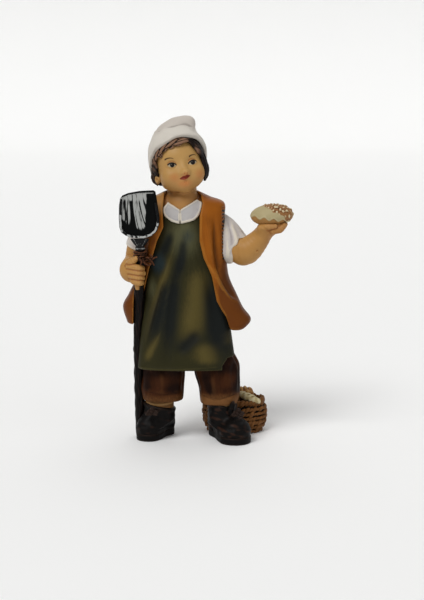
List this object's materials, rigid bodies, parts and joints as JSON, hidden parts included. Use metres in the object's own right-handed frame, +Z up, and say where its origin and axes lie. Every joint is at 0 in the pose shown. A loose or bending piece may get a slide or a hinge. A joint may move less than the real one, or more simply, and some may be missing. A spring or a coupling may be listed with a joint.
{
  "type": "nativity baker figurine",
  "caption": "Standing baker boy figurine in cap, waistcoat and apron, holding a bread peel and a loaf, with a woven bread basket beside one boot.",
  "frame": {"origin": "on the ground under the middle of the figure's bounding box", "axes": "+Z up, -Y towards the viewer in front of the face and apron, +X to the figure's own left, where the loaf is"},
  "size_m": [0.0624, 0.035, 0.1195],
  "materials": {
    "skin": "satin hand-painted resin",
    "hair": "dark paint with brown dry-brush",
    "cap_linen": "satin off-white paint with grey shading",
    "shirt_linen": "satin off-white paint with blue-grey shading",
    "waistcoat_ochre": "satin ochre paint with brown wash in the folds",
    "apron_green": "satin olive paint sprayed over with blue-green",
    "trouser_brown": "satin brown paint, lighter towards the hems",
    "sock_tan": "tan paint",
    "boot_black": "black-brown paint with brown dry-brush",
    "lace_brown": "brown dry-brush",
    "shaft_brown": "dark brown paint",
    "cord_brown": "brown paint",
    "iron_black": "satin black paint with silver brush marks",
    "iron_silver": "silver dry-brush over black",
    "loaf_crust": "cream paint with brown crust",
    "wicker_brown": "tan dry-brush over brown",
    "bread_cream": "cream paint",
    "bread_brown": "golden brown paint"
  },
  "bodies": {
    "root": {"head": "skin", "hair": "hair", "cap": "cap_linen", "torso": "shirt_linen", "collar_left": "shirt_linen", "collar_right": "shirt_linen", "arm_left": "skin", "arm_right": "skin", "sleeve_left": "shirt_linen", "sleeve_right": "shirt_linen", "trouser_leg_left": "trouser_brown", "trouser_leg_right": "trouser_brown", "apron": "apron_green", "waistcoat": "waistcoat_ochre", "sock_left": "sock_tan", "boot_left": "boot_black", "sole_left": "boot_black", "lace_left": "lace_brown", "sock_right": "sock_tan", "boot_right": "boot_black", "sole_right": "boot_black", "lace_right": "lace_brown", "tongue_left": "boot_black", "peel_shaft": "shaft_brown", "peel_cord": "cord_brown", "peel_socket": "iron_black", "peel_blade": "iron_black", "peel_rim": "iron_silver", "loaf": "loaf_crust", "basket": "wicker_brown", "basket_rim": "wicker_brown", "bread_baguette": "bread_cream", "bread_roll_back": "bread_brown", "bread_roll_middle": "bread_brown", "bread_roll_side": "bread_brown"}
  },
  "joints": []
}
